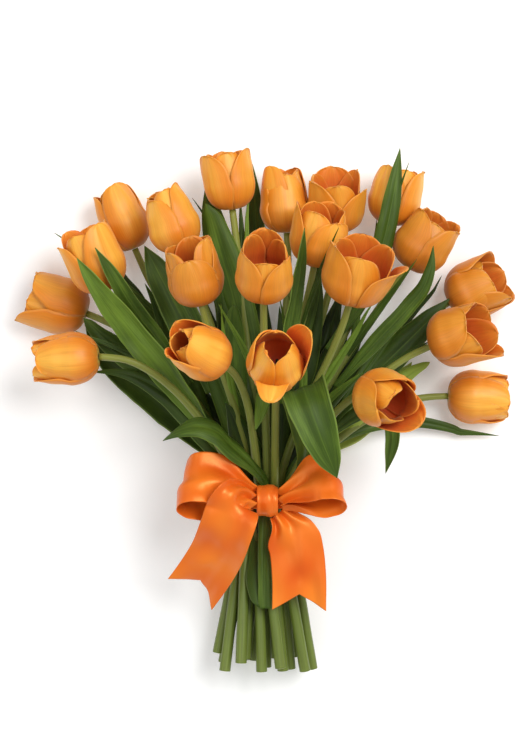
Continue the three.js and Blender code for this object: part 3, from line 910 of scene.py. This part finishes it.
for index, (name, (stalk, foot, tip, lean, lift, wide, tone)) in enumerate(stalkLeaves.items()):
    skin = limeSkin if name == "limeEnd" else leafSkin
    roll = leafRoll * math.sin(index * 2.1)
    stations = bladeAlongStalk(stalk, foot, tip, lean, lift, wide, name in bluntLeaves, roll)
    makeBlade("blade_" + name, stations, skin, 40 + index * 3.7, tone, wave=0.6)
for stalk, lean in shadeLeans.items():
    stations = bladeAlongStalk(stalk, shadeLeaf["foot"], shadeLeaf["tip"], lean,
                               shadeLeaf["lift"], shadeLeaf["wide"])
    makeBlade(f"blade_shade_{stalk:02d}", stations, leafSkin, 20 + stalk * 2.9, shadeLeaf["tone"], wave=0.6)
print("leaves made")


# ribbon

ribbonValues = {
    "thickness": 0.5 * millimetre,
    "width": 46 * millimetre,
    "columns": 48,
    "step": 1.6 * millimetre,
    "pleats": 2.5,
    "pleatDepth": 3.4 * millimetre,
    "turnWidth": 17 * millimetre,  # what shows of the folded ribbon in the knot and round the neck
    "foldGap": 0.8 * millimetre,
}
knotMiddle = middleOf([Vector(corner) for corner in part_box("ribbon_knot")])


# a soft ridge that runs along each stretch: its height in mm and its place across, from -1 to 1
ribbonRidges = {
    "ribbon_loop_left": (3.5, -0.2),
    "ribbon_loop_right": (3.5, 0.3),
    "ribbon_tail_left": (4.0, 0.45),
    "ribbon_tail_right": (3.0, 0.5),
}


def makeRibbon(nodeName, held):
    stations = stationsOf(nodeName, knotMiddle, isRibbon=True)
    middle, side, half = stations["middle"], stations["side"], stations["half"]
    length = sum((b - a).length for a, b in zip(middle, middle[1:]))
    isLoop = "loop" in nodeName
    ridge, ridgeAt = ribbonRidges[nodeName]
    seed = sum(map(ord, nodeName)) * 0.37

    def place(u, v):
        ahead = heading(middle, v)
        across = along(side, v)
        across = (across - ahead * across.dot(ahead)).normalized()
        out = across.cross(ahead)
        near = min(v, 1 - v) if isLoop else v
        gather = (1 - ease(0.0, 0.42, near)) ** 1.5
        reach = along(half, v)
        # pleats take up the width that the knot gathers, and run out into soft rolls
        drift = 0.5 * noise.noise(Vector((v * 4, seed, 0)))
        pleat = math.sin(math.pi * (ribbonValues["pleats"] * u + drift + 0.3))
        lift = gather * ribbonValues["pleatDepth"] * pleat
        roll = noise.noise(Vector((u * 1.3, v * length / (38 * millimetre), seed)))
        lift += 4.5 * millimetre * roll * ease(0.0, 0.3, near)
        lift += ridge * millimetre * bell(u - ridgeAt, 0.3) * ease(0.05, 0.25, near)
        notch = 0.0 if isLoop else stations["notch"] * (1 - abs(u)) * ease(0.4, 1.0, v)
        return along(middle, v) + across * (reach * u) + out * lift - ahead * notch

    build = emptyBuild()
    rows = round(length / ribbonValues["step"])
    addSheet(build, ribbonValues["columns"], rows, place,
             (ribbonValues["width"] / millimetre, length / millimetre), seed)
    piece = finishPiece(nodeName.replace("ribbon_", "satin_"), build, [satin], [nodeName],
                        thickness=ribbonValues["thickness"])
    return piece


def makeTurn(nodeName, pieceName, axis, first, radii, crown):
    # ribbon folded lengthwise in three and wound once round: its edges are tucked under the part that shows
    centre = middleOf([Vector(corner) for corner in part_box(nodeName)])
    second = axis.cross(first)
    shown, gap = ribbonValues["turnWidth"] / 2, ribbonValues["foldGap"]
    bendRadius = gap / 2

    def place(u, v):
        s = abs(u) * ribbonValues["width"] / 2
        flap = gap if u > 0 else 2 * gap
        if s < shown:
            x, depth = s, 0.0
        elif s < shown + math.pi * bendRadius:
            a = (s - shown) / bendRadius
            x, depth = shown + bendRadius * math.sin(a), flap / 2 * (1 - math.cos(a))
        else:
            x, depth = shown - (s - shown - math.pi * bendRadius), flap
        angle = 2 * math.pi * v
        crease = 0.5 * millimetre * noise.noise(Vector((math.cos(angle) * 0.8, math.sin(angle) * 0.8, u * 6)))
        crease += 0.55 * millimetre * math.sin(u * 13 + 1.4 * math.sin(angle))
        swell = crown * (1 - (x / shown) ** 2) + crease - depth
        ray = first * (math.cos(angle) * (radii[0] + swell)) + second * (math.sin(angle) * (radii[1] + swell))
        return centre + axis * math.copysign(x, u) + ray

    build = emptyBuild()
    length = math.pi * (radii[0] + radii[1])
    addSheet(build, 64, 96, place, (ribbonValues["width"] / millimetre, length / millimetre))
    piece = finishPiece(pieceName, build, [satin], [nodeName], thickness=0.3 * millimetre)


for nodeName in ("ribbon_loop_left", "ribbon_loop_right", "ribbon_tail_left", "ribbon_tail_right"):
    makeRibbon(nodeName, "folded" if "loop" in nodeName else "draped")
low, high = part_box("ribbon_knot")
makeTurn("ribbon_knot", "satin_knot", Vector((1, 0, 0)), Vector((0, 1, 0)),
         ((high.y - low.y) / 2 - millimetre, (high.z - low.z) / 2 - millimetre), 1.4 * millimetre)
low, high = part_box("ribbon_band")
makeTurn("ribbon_band", "satin_turn", Vector((0, 1, 0)), Vector((0, 0, 1)),
         ((high.z - low.z) / 2 - 0.5 * millimetre, (high.x - low.x) / 2 - 0.5 * millimetre),
         0.4 * millimetre)
print("ribbon made")


# floor, light and camera

studioValues = {
    "cameraFromKnot": (-2, 112, 1911.4),  # mm
    "lens": 110.2,
    "sensor": 36.0,
    "surround": "#FFFFFF",
    "surroundStrength": 0.58,
    "tableGlow": 0.12,
    "floorReach": 6.0,
    "keyPlace": (0.8, 0.6, 1.8),
    "keySize": 1.1,
    "keyPower": 29.0,
    "fillPlace": (-1.0, 0.2, 1.9),
    "fillSize": 1.8,
    "fillPower": 10.0,
    "lampAim": (0, 0, 0.08),
}


def makeFloor():
    # white paper, lit softly from below as a light table does
    material, tree, shader = startMaterial("whitePaper", {
        "Base Color": linear("#F6F6F5"), "IOR": 1.45,
        "Emission Color": (1.0, 1.0, 1.0, 1.0), "Emission Strength": studioValues["tableGlow"]})
    coordinates = addNode(tree, "ShaderNodeTexCoord")
    fibres = addNode(tree, "ShaderNodeTexNoise", {"Scale": 60.0, "Detail": 4.0},
                     {"Vector": (coordinates, "Object")})
    gloss = addNode(tree, "ShaderNodeMapRange", {"To Min": 0.75, "To Max": 0.9}, {"Value": (fibres, "Fac")})
    tree.links.new(gloss.outputs["Result"], shader.inputs["Roughness"])
    mesh = bpy.data.meshes.new("floor")
    reach = studioValues["floorReach"]
    corners = [(-reach, -reach, 0), (reach, -reach, 0), (reach, reach, 0), (-reach, reach, 0)]
    mesh.from_pydata(corners, [], [(0, 1, 2, 3)])
    mesh.materials.append(material)
    floor = bpy.data.objects.new("floor", mesh)
    bpy.context.scene.collection.objects.link(floor)


def addLamp(name, place, size, power, target):
    lamp = bpy.data.lights.new(name, "AREA")
    lamp.shape = "DISK"
    lamp.size = size
    lamp.energy = power
    holder = bpy.data.objects.new(name, lamp)
    holder.location = place
    holder.rotation_euler = (Vector(target) - Vector(place)).to_track_quat("-Z", "Y").to_euler()
    bpy.context.scene.collection.objects.link(holder)


makeFloor()
world = bpy.data.worlds.new("studio")
world.use_nodes = True
world.node_tree.nodes["Background"].inputs["Color"].default_value = linear(studioValues["surround"])
world.node_tree.nodes["Background"].inputs["Strength"].default_value = studioValues["surroundStrength"]
bpy.context.scene.world = world
for name in ("key", "fill"):
    addLamp(name, studioValues[name + "Place"], studioValues[name + "Size"], studioValues[name + "Power"],
            studioValues["lampAim"])
cameraData = bpy.data.cameras.new("camera")
cameraData.lens = studioValues["lens"]
cameraData.sensor_width = studioValues["sensor"]
camera = bpy.data.objects.new("camera", cameraData)
camera.location = knotMiddle + Vector(studioValues["cameraFromKnot"]) * millimetre
bpy.context.scene.collection.objects.link(camera)
bpy.context.scene.camera = camera
bpy.context.scene.view_settings.view_transform = "Standard"
print("studio ready")
